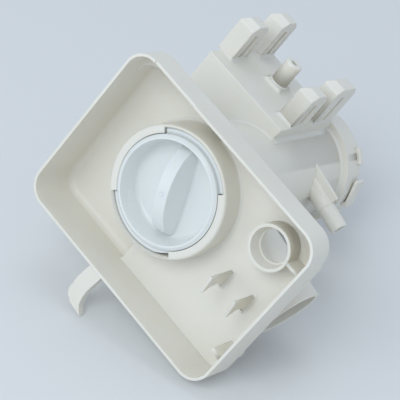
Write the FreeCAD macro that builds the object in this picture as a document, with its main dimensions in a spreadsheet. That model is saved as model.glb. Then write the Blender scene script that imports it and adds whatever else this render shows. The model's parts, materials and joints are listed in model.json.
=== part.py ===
"""Pump filter housing of a washing machine.

The frame: the origin is the centre of the pump bore's mouth at the rear. +Y runs back
towards the pump, so the filter is drawn out along -Y. +Z is up, where the bracket prongs
point, and +X is right as seen from the front. "Forward" distances are counted from the
pump face towards the front, so a forward distance f lies at y = -f.
Angles round the filter axis are counted from +X towards +Z.
"""
import FreeCAD, Part
import math
import os
import re

import Sketcher

SIZES = {
    # Overall
    "housing_length": (160, "pump face to the tray's front rim"),
    "wall": (2, "general moulded wall"),
    "fit_gap": (0.3, "gap between pieces that move past each other"),
    # Front tray
    "tray_width": (141, "outside width of the rim"),
    "tray_height": (106, "outside height of the rim"),
    "tray_corner": (12.5, "outside corner radius of the rim"),
    "tray_right": (12.3, "tray centre to the right of the filter axis"),
    "tray_down": (3.7, "tray centre below the filter axis"),
    "rim_wall": (1.5, "wall of the rim and the basin"),
    "skirt_depth": (17, "depth of the full-width rim"),
    "tray_depth": (25, "rim to the basin floor"),
    "shelf_top": (6, "basin set in from the rim at the top"),
    "well_drop": (7, "extra depth of the left well"),
    "well_left": (0.7, "step of the well, left of the filter axis"),
    "floor_fillet": (4, "round at the foot of the well's walls, inside"),
    "rim_notch": (0.8, "drop of the rim's top left stretch"),
    "rim_notch_left": (14.7, "right end of that stretch, left of the axis"),
    # Collar and bayonet
    "collar_step": (4.8, "collar's outside past the barrel's"),
    "collar_wall": (1.8, "wall of the collar"),
    "collar_rise": (15.5, "collar front above the basin floor"),
    "lip_reach": (2.8, "lip inwards from the collar's inner wall"),
    "lip_depth": (1.4, "thickness of a bayonet lip"),
    "lug_depth": (4, "thickness of a cap lug"),
    "lug_sweep": (89.2, "angle covered by a lug"),
    "stop_rib_sweep": (80, "angle covered by the rib behind a lug"),
    "lip_sweep": (90, "angle covered by a lip"),
    "stop_sweep": (8.8, "angle covered by a turn stop"),
    "stop_gap": (0.4, "angle between a stop and the lip's end"),
    "seat_room": (2.4, "depth behind the lugs, for the turn stops"),
    # Sump barrel
    "barrel_radius": (30, "outside of the sump barrel"),
    "barrel_wall": (2.5, "wall of the barrel"),
    "lead_in": (1.2, "chamfer at the barrel's mouth"),
    # Pump connection
    "flange_step": (4.2, "pump flange's outside past the barrel's"),
    "flange_length": (15, "length of the pump flange"),
    "pump_bore_step": (0.5, "bore for the pump's nose past the barrel's outside"),
    "pump_bore_length": (9, "length of that bore"),
    "seal_groove": (3, "depth of the pump seal's groove"),
    "seal_groove_step": (0.4, "pump seal's groove within the barrel's outside"),
    "tab_reach": (2.4, "pump tab outwards from the flange"),
    "tab_length": (4, "pump tab along the axis"),
    "tab_sweep": (15.5, "angle covered by a pump tab"),
    "tab_angle": (52, "direction of the first pump tab"),
    "tongue_angle": (16, "direction of the latch tongue"),
    "tongue_gap": (0.8, "slit between the flange and the tongue"),
    "tongue_thick": (2, "thickness of the latch tongue"),
    "tongue_width": (8, "latch tongue along the axis"),
    "tongue_up": (9, "tongue's free end from its middle"),
    "tongue_down": (7.7, "tongue's root end from its middle"),
    # Air chamber on the barrel's upper left
    "chamber_left": (57.7, "left side, left of the axis"),
    "chamber_right": (1.8, "right end, right of the axis"),
    "chamber_top": (38, "top above the axis"),
    "chamber_bottom": (8.7, "underside below the axis"),
    "chamber_back": (20, "rear side, forward of the pump face"),
    "chamber_length": (60, "length along the axis"),
    "air_port_radius": (5, "port between barrel and chamber"),
    "air_port_angle": (140, "direction of that port"),
    # Bracket prongs on the chamber
    "front_prong_height": (22.6, "front prongs from foot to crown"),
    "rear_prong_height": (25.7, "rear prongs from foot to crown"),
    "prong_crown": (3.6, "crown above the shoulders"),
    "prong_bevel": (4.2, "slope of the crown, along the axis"),
    "prong_chamfer": (3, "chamfer on the crown's left edge"),
    "left_prong_width": (11.2, "width of the left prongs"),
    "right_prong_width": (10.8, "width of the right prongs"),
    "prong_overhang": (3, "left prongs past the chamber's side"),
    "prong_inset": (0.5, "right prongs from the chamber's end"),
    "front_prong_back": (52, "rear of the front prongs"),
    "front_prong_length": (17, "front prongs along the axis"),
    "rear_prong_back": (22, "rear of the rear prongs"),
    "rear_prong_length": (22, "rear prongs along the axis"),
    "front_left_extra": (1.6, "front left prong higher than its neighbour"),
    "rear_left_short": (6, "rear left prong shorter along the axis than its neighbour"),
    "prong_groove": (2.6, "depth of the groove in a prong's side"),
    "groove_width": (3.6, "width of that groove"),
    "groove_floor": (1.5, "foot of the groove above the chamber"),
    "groove_top": (7, "groove's top below the crown"),
    # Pressure hose nipple
    "nipple_left": (28.7, "nipple, left of the axis"),
    "nipple_forward": (45, "nipple, forward of the pump face"),
    "nipple_radius": (5, "outside of the nipple"),
    "nipple_bore": (1.9, "bore radius of the nipple"),
    "nipple_height": (14.8, "nipple above its pad"),
    "nipple_chamfer": (0.8, "chamfer at the nipple's tip"),
    "pad_side": (12, "side of the nipple's pad"),
    "pad_height": (2, "height of the nipple's pad"),
    # Emergency drain sleeve
    "sleeve_in": (24.5, "sleeve, in from the tray's right side"),
    "sleeve_up": (21.9, "sleeve, above the filter axis"),
    "sleeve_radius": (12.2, "outside of the sleeve"),
    "sleeve_bore": (8.6, "radius of the sleeve's neck"),
    "sleeve_rise": (12, "sleeve front above the basin floor"),
    "funnel_depth": (7, "depth of the flared mouth"),
    "funnel_foot": (9.4, "radius at the foot of the flared mouth"),
    "funnel_lip": (1.6, "width of the mouth's lip"),
    "neck_length": (2, "length of the sleeve's neck"),
    "rib_above": (2.6, "rib's top above the sleeve's axis"),
    "rib_thick": (2, "thickness of the rib"),
    # Fingers that hold the drain hose
    "finger_thick": (2, "thickness of a finger"),
    "inner_finger_rise": (22, "inner finger above the basin floor"),
    "outer_finger_rise": (20.5, "outer finger above the basin floor"),
    "finger_foot": (11.4, "width of a finger's foot"),
    "inner_finger_slant": (3.2, "inner tip's lower corner behind its upper one"),
    "outer_finger_slant": (4.9, "outer tip's lower corner behind its upper one"),
    "finger_lean": (1.2, "tip's lower corner below the foot"),
    "finger_arch": (4.6, "hollow of a finger's lower edge"),
    "finger_down": (19.6, "foot's lower end below the filter axis"),
    "inner_finger_in": (34.5, "inner finger, in from the tray's right side"),
    "outer_finger_in": (17.5, "outer finger, in from the tray's right side"),
    "corner_rib_in": (9.4, "corner rib's end, in from the tray's right side"),
    "corner_rib_down": (37.6, "corner rib's underside below the axis"),
    "corner_rib_thick": (2.6, "thickness of the corner rib"),
    "corner_rib_rise": (19, "corner rib above the basin floor"),
    # Hook under the tray
    "hook_back": (4, "hook's front face, back from the rim"),
    "hook_width": (5, "hook along the axis"),
    "hook_left": (4.2, "outer edge of the hook's root, left of the axis"),
    "hook_root": (10, "width of the hook's root"),
    "hook_drop": (27.8, "root to the tip, downwards"),
    "hook_tip": (13.7, "outer edge of the root to the tip, sideways"),
    # Inlet pipe from the tub
    "inlet_radius": (18, "outside of the inlet pipe"),
    "inlet_wall": (2.2, "wall of the inlet pipe"),
    "inlet_back": (48.8, "inlet pipe's axis, back from the rim"),
    "inlet_root_step": (1.2, "thicker root of the inlet pipe past its outside"),
    "inlet_root_reach": (36, "end of that root from the filter axis"),
    "inlet_reach": (81.2, "mouth of the pipe from the filter axis"),
    "inlet_droop": (9.1, "angle of the pipe below level"),
    # Small spigot on the right
    "spigot_radius": (5, "outside of the spigot"),
    "spigot_bore": (2.9, "bore radius of the spigot"),
    "spigot_root_step": (0.3, "thicker root of the spigot past its outside"),
    "spigot_forward": (44, "spigot, forward of the pump face"),
    "spigot_offset": (18, "spigot's axis above the filter axis"),
    "spigot_reach": (49.9, "tip of the spigot from its perpendicular"),
    "spigot_droop": (11, "angle of the spigot below level"),
    "web_above": (4.1, "web's edge above the spigot"),
    "web_reach": (35.9, "end of the web from its perpendicular"),
    "web_thick": (2, "thickness of the web"),
    # Filter cap
    "ring_reach": (0.1, "cap ring in front of the collar"),
    "crest_reach": (1.4, "bowl's crest in front of the collar"),
    "crest_width": (0.8, "flat of the bowl's crest"),
    "bowl_step": (2.7, "bowl's crest within the barrel's outside"),
    "bowl_taper": (2.2, "bowl's floor within its crest"),
    "bowl_depth": (13, "depth of the bowl"),
    "plug_gap": (0.4, "gap between the cap's plug and the barrel"),
    "plug_length": (15.5, "plug behind the cap's ring"),
    "plug_wall": (5.1, "wall of the plug"),
    "cap_seal_section": (1.4, "radius of the cap seal's section"),
    "cap_seal_back": (3.2, "cap seal from the plug's rear end"),
    "cap_seal_gap": (0.25, "gap between the cap seal and the barrel"),
    "grip_thick": (7, "thickness of the grip bar"),
    "grip_proud": (3.2, "grip's top in front of the bowl's crest"),
    "grip_room": (0.9, "gap between the grip's end and the bowl's wall"),
    "grip_angle": (113.7, "direction of the grip bar"),
    "spindle_radius": (5, "journal that the strainer turns on"),
    "shoulder_radius": (8, "spindle in front of the journal"),
    "snap_radius": (6.4, "snap head of the spindle"),
    "snap_length": (3, "length of the snap head"),
    # Strainer
    "strainer_room": (2, "gap round the strainer in the barrel"),
    "strainer_wall": (1.6, "wall of the strainer"),
    "strainer_back": (38, "front of the strainer, back from the rim"),
    "strainer_length": (62, "whole length of the strainer"),
    "head_thick": (4, "thickness of the strainer's head"),
    "end_thick": (3, "thickness of the strainer's end"),
    "running_gap": (0.06, "journal in the strainer's head, radial"),
    "mouth_height": (36, "height of the strainer's open side"),
    "mouth_margin": (4, "closed ends of the open side"),
    "slot_length": (10, "length of a strainer slot"),
    "slot_height": (3, "height of a strainer slot"),
    "slot_pitch": (13, "distance between slots along the axis"),
    "row_pitch": (7, "distance between rows of slots"),
    "bar_pitch": (8, "distance between the end's openings"),
    "bar_opening": (6, "height of the end's openings"),
    "end_rim": (3, "rim left round the end's openings"),
    # Guide of the strainer
    "rail_sweep": (6.4, "angle covered by the guide rail"),
    "rail_height": (1.7, "guide rail inwards from the barrel"),
    "ear_sweep": (5.2, "angle covered by a guide ear"),
    "ear_gap": (1.2, "angle between the rail and an ear"),
}

# Forward distances and radii that several pieces share
FLOOR = "(housing_length - tray_depth)"
WELL = f"({FLOOR} - well_drop)"
COLLAR_FRONT = f"({FLOOR} + collar_rise)"
LIP_BACK = f"({COLLAR_FRONT} - lip_depth)"
LUG_FRONT = f"({LIP_BACK} - fit_gap)"
LUG_BACK = f"({LUG_FRONT} - lug_depth)"
SEAT = f"({LUG_BACK} - seat_room)"
STOP_FRONT = f"({LUG_BACK} - fit_gap)"
COLLAR_RADIUS = "(barrel_radius + collar_step)"
COLLAR_BORE = f"({COLLAR_RADIUS} - collar_wall)"
LIP_RADIUS = f"({COLLAR_BORE} - lip_reach)"
BARREL_BORE = "(barrel_radius - barrel_wall)"
BARREL_BACK = "(pump_bore_length + seal_groove)"
FLANGE_RADIUS = "(barrel_radius + flange_step)"
PUMP_BORE = "(barrel_radius + pump_bore_step)"
SEAL_GROOVE = "(barrel_radius - seal_groove_step)"
TRAY_LEFT = "(tray_right - tray_width / 2)"
TRAY_RIGHT = "(tray_right + tray_width / 2)"
TRAY_BOTTOM = "(0 - tray_down - tray_height / 2)"
TRAY_TOP = "(tray_height / 2 - tray_down)"
SKIRT_RIGHT = f"({TRAY_RIGHT} - rim_wall)"
BASIN_LEFT = f"({TRAY_LEFT} + rim_wall)"
BASIN_BOTTOM = f"({TRAY_BOTTOM} + rim_wall)"
BASIN_TOP = f"({TRAY_TOP} - shelf_top - 2 * rim_wall)"
BASIN_CORNER = "(tray_corner - rim_wall)"
SLEEVE_RIGHT = f"({TRAY_RIGHT} - sleeve_in)"
INLET_FORWARD = "(housing_length - inlet_back)"
INLET_ROOT = "(inlet_radius + inlet_root_step)"
SPIGOT_ROOT = "(spigot_radius + spigot_root_step)"
CAP_RADIUS = f"({LIP_RADIUS} - fit_gap)"
CAP_BACK = f"({SEAT} + fit_gap)"
PLUG_RADIUS = f"({BARREL_BORE} - plug_gap)"
PLUG_BACK = f"({CAP_BACK} - plug_length)"
CREST = f"({COLLAR_FRONT} + crest_reach)"
BOWL_FLOOR = f"({CREST} - bowl_depth)"
BOWL_RADIUS = "(barrel_radius - bowl_step)"
BOWL_FOOT = f"({BOWL_RADIUS} - bowl_taper)"
GRIP_SPAN = f"(2 * ({BOWL_FOOT} - grip_room))"
SEAL_RADIUS = f"({BARREL_BORE} - cap_seal_gap - cap_seal_section)"
SEAL_FORWARD = f"({PLUG_BACK} + cap_seal_back)"
STRAINER_RADIUS = f"({BARREL_BORE} - strainer_room)"
STRAINER_FRONT = "(housing_length - strainer_back)"
HEAD_BACK = f"({STRAINER_FRONT} - head_thick)"
STRAINER_END = f"({STRAINER_FRONT} - strainer_length)"
END_FRONT = f"({STRAINER_END} + end_thick)"
CHAMBER_FRONT = "(chamber_back + chamber_length)"

doc = FreeCAD.newDocument("pump_filter_housing")
sheet = doc.addObject("Spreadsheet::Sheet", "Sizes")
for row, (name, (size, note)) in enumerate(SIZES.items(), start=1):
    sheet.set(f"A{row}", note)
    sheet.set(f"B{row}", str(size))
    sheet.setAlias(f"B{row}", name)
doc.recompute()

pieces = []


def tied(text):
    """The expression with each size's name pointed at its cell in the sheet."""
    return re.sub(r"[a-z]\w*", lambda word: f"Sizes.{word[0]}" if word[0] in SIZES else word[0], text)


def number(text):
    """The present value of an expression."""
    return float(sheet.evalExpression(tied(text)))


def piece(label):
    """A new body, which becomes one node of the model."""
    body = doc.addObject("PartDesign::Body", label)
    body.Label = label
    pieces.append(body)
    return body


def sketch_on(body, role, offset="0", across=None, axis=None, turn="0"):
    """A sketch on one of the body's origin planes, moved along and turned in that plane's frame.

    XY_Plane draws (x, y). XZ_Plane draws (x, z) and moves forward. YZ_Plane draws (y, z)
    and moves right.
    """
    sketch = body.newObject("Sketcher::SketchObject", f"{body.Name}_outline")
    plane = next(item for item in body.Origin.OriginFeatures if item.Role == role)
    sketch.AttachmentSupport = [(plane, "")]
    sketch.MapMode = "FlatFace"
    if axis:
        start = FreeCAD.Rotation(FreeCAD.Vector(*axis), number(turn))
        sketch.AttachmentOffset = FreeCAD.Placement(FreeCAD.Vector(), start)
        sketch.setExpression("AttachmentOffset.Rotation.Angle", tied(turn))
    sketch.setExpression("AttachmentOffset.Base.z", tied(offset))
    if across:
        sketch.setExpression("AttachmentOffset.Base.x", tied(across))
    return sketch


def fix(sketch, geometry, point, corner):
    """Hold one point of the sketch at a corner given as two expressions."""
    for kind, text in zip(("DistanceX", "DistanceY"), corner):
        held = Sketcher.Constraint(kind, -1, 1, geometry, point, number(text))
        index = sketch.addConstraint(held)
        sketch.setExpression(f"Constraints[{index}]", tied(text))


def polygon(sketch, corners):
    """A closed outline of straight lines through corners given as expressions."""
    first = sketch.GeometryCount
    count = len(corners)
    spots = [FreeCAD.Vector(number(across), number(along), 0) for across, along in corners]
    for index in range(count):
        sketch.addGeometry(Part.LineSegment(spots[index], spots[(index + 1) % count]))
    for index in range(count):
        following = first + (index + 1) % count
        sketch.addConstraint(Sketcher.Constraint("Coincident", first + index, 2, following, 1))
    for index, corner in enumerate(corners):
        fix(sketch, first + index, 1, corner)
    return sketch


def rectangle(sketch, left, right, low, high):
    """A rectangle between four sides given as expressions."""
    return polygon(sketch, [(left, low), (right, low), (right, high), (left, high)])


def rounded(sketch, left, right, low, high, corner, right_corner=None):
    """A rectangle with round corners: four lines held at both ends and four tangent arcs."""
    other = right_corner or corner
    quarter = math.pi / 2
    sides = [
        ((f"{left} + {corner}", low), (f"{right} - {other}", low),
         (f"{right} - {other}", f"{low} + {other}"), other, 3 * quarter),
        ((right, f"{low} + {other}"), (right, f"{high} - {other}"),
         (f"{right} - {other}", f"{high} - {other}"), other, 0),
        ((f"{right} - {other}", high), (f"{left} + {corner}", high),
         (f"{left} + {corner}", f"{high} - {corner}"), corner, quarter),
        ((left, f"{high} - {corner}"), (left, f"{low} + {corner}"),
         (f"{left} + {corner}", f"{low} + {corner}"), corner, 2 * quarter),
    ]
    for start, end, centre, radius, begin in sides:
        spots = [FreeCAD.Vector(number(a), number(b), 0) for a, b in (start, end, centre)]
        line = sketch.addGeometry(Part.LineSegment(spots[0], spots[1]))
        whole = Part.Circle(spots[2], FreeCAD.Vector(0, 0, 1), number(radius))
        arc = sketch.addGeometry(Part.ArcOfCircle(whole, begin, begin + quarter))
        fix(sketch, line, 1, start)
        fix(sketch, line, 2, end)
        sketch.addConstraint(Sketcher.Constraint("Coincident", line, 2, arc, 1))
        held = sketch.addConstraint(Sketcher.Constraint("Radius", arc, number(radius)))
        sketch.setExpression(f"Constraints[{held}]", tied(radius))
    for side in range(4):
        arc = 2 * side + 1
        sketch.addConstraint(Sketcher.Constraint("Coincident", arc, 2, (arc + 1) % 8, 1))
    return sketch


def circle(sketch, across, along, radius):
    """A circle whose centre and radius are expressions."""
    centre = FreeCAD.Vector(number(across), number(along), 0)
    ring = sketch.addGeometry(Part.Circle(centre, FreeCAD.Vector(0, 0, 1), number(radius)))
    fix(sketch, ring, 3, (across, along))
    index = sketch.addConstraint(Sketcher.Constraint("Radius", ring, number(radius)))
    sketch.setExpression(f"Constraints[{index}]", tied(radius))
    return sketch


def pad(body, sketch, length, middle=False):
    """Add the outline's solid, forwards on XZ_Plane, right on YZ_Plane, up on XY_Plane."""
    feature = body.newObject("PartDesign::Pad", f"{body.Name}_pad")
    feature.Profile = sketch
    feature.Midplane = middle
    feature.setExpression("Length", tied(length))
    doc.recompute()
    return feature


def pocket(body, sketch, length, onward=False, middle=False):
    """Cut the outline away, against the pad's direction unless it goes onward."""
    before = body.Shape.Volume
    feature = body.newObject("PartDesign::Pocket", f"{body.Name}_cut")
    feature.Profile = sketch
    feature.Reversed = onward
    feature.Midplane = middle
    feature.setExpression("Length", tied(length))
    doc.recompute()
    if not body.Shape.Volume < before:
        raise RuntimeError(f"{body.Label}: {feature.Name} cuts nothing")
    return feature


def revolve(body, sketch, sweep="360", middle=False):
    """Turn the outline about the filter axis, which is the sketch's vertical axis."""
    feature = body.newObject("PartDesign::Revolution", f"{body.Name}_turned")
    feature.Profile = sketch
    feature.ReferenceAxis = (sketch, ["V_Axis"])
    feature.Midplane = middle
    feature.setExpression("Angle", tied(sweep))
    doc.recompute()
    return feature


def dress(body, kind, edges, size):
    """Round or chamfer the edges of the body's last feature that the test picks."""
    base = body.Tip
    names = [f"Edge{index}" for index, edge in enumerate(base.Shape.Edges, start=1) if edges(edge)]
    feature = body.newObject(f"PartDesign::{kind}", f"{body.Name}_{kind.lower()}")
    feature.Base = (base, names)
    feature.setExpression("Radius" if kind == "Fillet" else "Size", tied(size))
    doc.recompute()
    return feature


def turned(label, profile):
    """A piece turned about the filter axis from (radius, forward distance) corners."""
    body = piece(label)
    corners = [(radius, f"0 - ({forward})") for radius, forward in profile]
    revolve(body, polygon(sketch_on(body, "XY_Plane"), corners))
    return body


def arc_block(label, inner, outer, back, front, middle, sweep):
    """A block between two radii, round the filter axis, centred on one direction."""
    body = piece(label)
    sketch = sketch_on(body, "XY_Plane", axis=(0, 1, 0), turn=f"0 - ({middle})")
    rectangle(sketch, inner, outer, f"0 - ({front})", f"0 - ({back})")
    revolve(body, sketch, sweep, middle=True)
    return body


def trim_by_barrel(body):
    """Cut away what lies inside the sump barrel's outer wall."""
    sketch = circle(sketch_on(body, "XZ_Plane"), "0", "0", "barrel_radius")
    return pocket(body, sketch, "housing_length", onward=True)


def lies_along(axis, text):
    """An edge test: the whole edge lies where a coordinate has an expression's value."""
    def test(edge):
        place = number(text)
        box = edge.BoundBox
        low = (box.XMin, box.YMin, box.ZMin)[axis]
        high = (box.XMax, box.YMax, box.ZMax)[axis]
        return abs(low - place) < 1e-4 and abs(high - place) < 1e-4
    return test


def lies_at(point):
    """An edge test: the middle of the edge is at a point."""
    def test(edge):
        middle = edge.valueAt((edge.FirstParameter + edge.LastParameter) / 2)
        return middle.distanceToPoint(FreeCAD.Vector(*(number(text) for text in point))) < 1e-4
    return test


def block(name, left, right, front, back, low, high):
    """A plain block between six sides, the front and the back as forward distances."""
    solid = doc.addObject("Part::Box", name)
    solid.setExpression("Length", tied(f"{right} - {left}"))
    solid.setExpression("Width", tied(f"{front} - {back}"))
    solid.setExpression("Height", tied(f"{high} - {low}"))
    for axis, text in (("x", left), ("y", f"0 - {front}"), ("z", low)):
        solid.setExpression(f"Placement.Base.{axis}", tied(text))
    return solid


def rod(name, radius, back, length):
    """A cylinder round the filter axis, from a forward distance towards the front."""
    solid = doc.addObject("Part::Cylinder", name)
    solid.setExpression("Radius", tied(radius))
    solid.setExpression("Height", tied(length))
    solid.Placement = FreeCAD.Placement(FreeCAD.Vector(), FreeCAD.Rotation(FreeCAD.Vector(1, 0, 0), 90))
    solid.setExpression("Placement.Base.y", tied(f"0 - {back}"))
    return solid


def cut(name, base, tool):
    """The base without the tool."""
    result = doc.addObject("Part::Cut", name)
    result.Base = base
    result.Tool = tool
    doc.recompute()
    return result


def front_tray():
    """The basin: a full-width skirt, a set-in floor and a deeper well on the left."""
    body = piece("front_tray")
    skirt = sketch_on(body, "XZ_Plane", "housing_length - skirt_depth")
    pad(body, rounded(skirt, TRAY_LEFT, TRAY_RIGHT, TRAY_BOTTOM, TRAY_TOP, "tray_corner"), "skirt_depth")
    box = sketch_on(body, "XZ_Plane", f"{FLOOR} - wall")
    rounded(box, TRAY_LEFT, TRAY_RIGHT, TRAY_BOTTOM, f"({BASIN_TOP} + rim_wall)", "tray_corner")
    pad(body, box, "tray_depth - skirt_depth + wall")
    dress(body, "Fillet", lies_along(1, f"0 - ({FLOOR} - wall)"), "floor_fillet + wall")
    well = sketch_on(body, "XZ_Plane", f"{WELL} - wall")
    rounded(well, TRAY_LEFT, "(rim_wall - well_left)", TRAY_BOTTOM, f"({BASIN_TOP} + rim_wall)",
            "tray_corner", "rim_wall")
    pad(body, well, "tray_depth - skirt_depth + wall + well_drop")

    mouth = sketch_on(body, "XZ_Plane", "housing_length")
    rounded(mouth, BASIN_LEFT, SKIRT_RIGHT, BASIN_BOTTOM, f"({TRAY_TOP} - rim_wall)", BASIN_CORNER)
    pocket(body, mouth, "skirt_depth - rim_wall")
    hollow = sketch_on(body, "XZ_Plane", "housing_length")
    rounded(hollow, BASIN_LEFT, SKIRT_RIGHT, BASIN_BOTTOM, BASIN_TOP, BASIN_CORNER)
    pocket(body, hollow, "tray_depth")
    deep = sketch_on(body, "XZ_Plane", FLOOR)
    rounded(deep, BASIN_LEFT, "(0 - well_left)", BASIN_BOTTOM, BASIN_TOP, BASIN_CORNER, "rim_wall")
    pocket(body, deep, "well_drop")
    dress(body, "Fillet", lies_along(1, f"0 - {WELL}"), "floor_fillet")
    dress(body, "Fillet", lies_along(1, f"0 - ({WELL} - wall)"), "floor_fillet + wall")

    notch = rectangle(sketch_on(body, "XZ_Plane", "housing_length"), f"({TRAY_LEFT} + tray_corner)",
                      "(0 - rim_notch_left)", f"({TRAY_TOP} - rim_wall)", TRAY_TOP)
    pocket(body, notch, "rim_notch")
    collar = circle(sketch_on(body, "XZ_Plane"), "0", "0", COLLAR_RADIUS)
    pocket(body, collar, "housing_length", onward=True)
    sleeve = circle(sketch_on(body, "XZ_Plane"), SLEEVE_RIGHT, "sleeve_up", "sleeve_radius")
    pocket(body, sleeve, "housing_length", onward=True)


def collar():
    """The ring round the cap, with the bayonet lips and the stops of the quarter turn."""
    ring = turned("filter_collar", [
        (COLLAR_RADIUS, f"{WELL} - wall"),
        (COLLAR_RADIUS, COLLAR_FRONT),
        (COLLAR_BORE, COLLAR_FRONT),
        (COLLAR_BORE, SEAT),
        ("barrel_radius", SEAT),
        ("barrel_radius", f"{SEAT} - wall"),
        (COLLAR_BORE, f"{SEAT} - wall"),
        (COLLAR_BORE, f"{WELL} - wall"),
    ])
    root = sketch_on(ring, "YZ_Plane", axis=(1, 0, 0), turn="inlet_droop")
    pocket(ring, circle(root, f"0 - {INLET_FORWARD}", "0", INLET_ROOT), "inlet_reach", onward=True)
    for side, angle in (("right", "0"), ("left", "180")):
        arc_block(f"{side}_bayonet_lip", LIP_RADIUS, COLLAR_BORE, LIP_BACK, COLLAR_FRONT, angle, "lip_sweep")
    stop = "180 - lip_sweep / 2 - stop_gap - stop_sweep / 2"
    for side, angle in (("upper", stop), ("lower", f"180 + {stop}")):
        arc_block(f"{side}_turn_stop", LIP_RADIUS, COLLAR_BORE, SEAT, STOP_FRONT, angle, "stop_sweep")


def sump_barrel():
    """The round sump, with ports for the tub's inlet, the spigot and the air chamber."""
    body = turned("sump_barrel", [
        (BARREL_BORE, BARREL_BACK),
        ("barrel_radius", BARREL_BACK),
        ("barrel_radius", SEAT),
        (f"{BARREL_BORE} + lead_in", SEAT),
        (BARREL_BORE, f"{SEAT} - lead_in"),
    ])
    inlet = sketch_on(body, "YZ_Plane", axis=(1, 0, 0), turn="inlet_droop")
    circle(inlet, f"0 - {INLET_FORWARD}", "0", "inlet_radius - inlet_wall")
    pocket(body, inlet, "inlet_reach", onward=True)
    spigot = sketch_on(body, "YZ_Plane", axis=(1, 0, 0), turn="spigot_droop")
    circle(spigot, "0 - spigot_forward", "spigot_offset", "spigot_bore")
    pocket(body, spigot, "spigot_reach", onward=True)
    port = sketch_on(body, "YZ_Plane", axis=(1, 0, 0), turn="0 - air_port_angle")
    circle(port, "0 - chamber_back - chamber_length / 2", "0", "air_port_radius")
    pocket(body, port, "2 * barrel_radius", onward=True)
    arc_block("guide_rail", f"{BARREL_BORE} - rail_height", BARREL_BORE, STRAINER_END, STRAINER_FRONT,
              "270", "rail_sweep")


def pump_connection():
    """The flange behind the barrel, its bayonet tabs, the latch tongue and the seal."""
    turned("pump_flange", [
        ("barrel_radius", "flange_length"),
        (FLANGE_RADIUS, "flange_length"),
        (FLANGE_RADIUS, "0"),
        (PUMP_BORE, "0"),
        (PUMP_BORE, "pump_bore_length"),
        (SEAL_GROOVE, "pump_bore_length"),
        (SEAL_GROOVE, BARREL_BACK),
        ("barrel_radius", BARREL_BACK),
    ])
    for turn, side in enumerate(("right", "left", "lower")):
        arc_block(f"{side}_pump_tab", FLANGE_RADIUS, f"{FLANGE_RADIUS} + tab_reach", "0", "tab_length",
                  f"tab_angle + {120 * turn}", "tab_sweep")

    tongue = piece("latch_tongue")
    plate = sketch_on(tongue, "XZ_Plane", axis=(0, 0, 1), turn="tongue_angle")
    inner = f"{FLANGE_RADIUS} + tongue_gap"
    outer = f"{FLANGE_RADIUS} + tongue_gap + tongue_thick"
    root = "tongue_thick - tongue_down"
    polygon(plate, [
        (outer, "0 - tongue_down"),
        (outer, "tongue_up"),
        (inner, "tongue_up"),
        (inner, root),
        (PUMP_BORE, root),
        (PUMP_BORE, "0 - tongue_down"),
    ])
    pad(tongue, plate, "tongue_width")
    flange = circle(sketch_on(tongue, "XZ_Plane"), "0", "0", FLANGE_RADIUS)
    pocket(tongue, flange, "tongue_width", onward=True)

    turned("pump_seal", [
        (f"{BARREL_BORE} + fit_gap", BARREL_BACK),
        (f"{SEAL_GROOVE} - fit_gap", BARREL_BACK),
        (f"{SEAL_GROOVE} - 2 * fit_gap", "pump_bore_length + fit_gap"),
        (f"{BARREL_BORE} + 2 * fit_gap", "pump_bore_length + fit_gap"),
    ])


def air_chamber():
    """The pressure chamber: a box that the barrel's upper left closes."""
    left = "(0 - chamber_left)"
    low = "(0 - chamber_bottom)"
    outside = block("chamber_outside", left, "chamber_right", CHAMBER_FRONT, "chamber_back",
                    low, "chamber_top")
    inside = block("chamber_inside", f"({left} + wall)", "(chamber_right - wall)",
                   f"({CHAMBER_FRONT} - wall)", "(chamber_back + wall)",
                   f"({low} + wall)", "(chamber_top - wall)")
    barrel = rod("chamber_barrel", "barrel_radius", "0", "housing_length")
    shell = cut("chamber_shell", cut("chamber_saddle", outside, barrel), inside)

    bore = doc.addObject("Part::Cylinder", "chamber_bore")
    bore.setExpression("Radius", tied("nipple_bore"))
    bore.setExpression("Height", tied("2 * wall"))
    spot = ("0 - nipple_left", "0 - nipple_forward", "chamber_top - 1.5 * wall")
    for axis, text in zip("xyz", spot):
        bore.setExpression(f"Placement.Base.{axis}", tied(text))
    pieces.append(cut("air_chamber", shell, bore))


def prongs():
    """Four bracket prongs on the chamber, crowned at the tip and grooved on their right side."""
    lanes = {
        "left": ("(0 - chamber_left - prong_overhang)", "left_prong_width"),
        "right": ("(chamber_right - prong_inset - right_prong_width)", "right_prong_width"),
    }
    foot = "chamber_top"
    odd = {"front_left": ("0", "front_left_extra"), "rear_left": ("rear_left_short", "0")}
    for row in ("front", "rear"):
        for lane, (start, width) in lanes.items():
            shorter, higher = odd.get(f"{row}_{lane}", ("0", "0"))
            back = f"(0 - {row}_prong_back)"
            front = f"({back} - {row}_prong_length + {shorter})"
            crown = f"({foot} + {row}_prong_height + {higher})"
            body = piece(f"{row}_{lane}_prong")
            side = sketch_on(body, "YZ_Plane", start)
            polygon(side, [
                (front, foot),
                (back, foot),
                (back, f"{crown} - prong_crown"),
                (f"{back} - prong_bevel", crown),
                (f"{front} + prong_bevel", crown),
                (front, f"{crown} - prong_crown"),
            ])
            pad(body, side, width)
            groove = sketch_on(body, "YZ_Plane", f"{start} + {width}")
            middle = f"(({front} + {back}) / 2)"
            rectangle(groove, f"{middle} - groove_width / 2", f"{middle} + groove_width / 2",
                      f"{foot} + groove_floor", f"{crown} - groove_top")
            pocket(body, groove, "prong_groove")
            dress(body, "Chamfer", lies_at((start, middle, crown)), "prong_chamfer")


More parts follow.
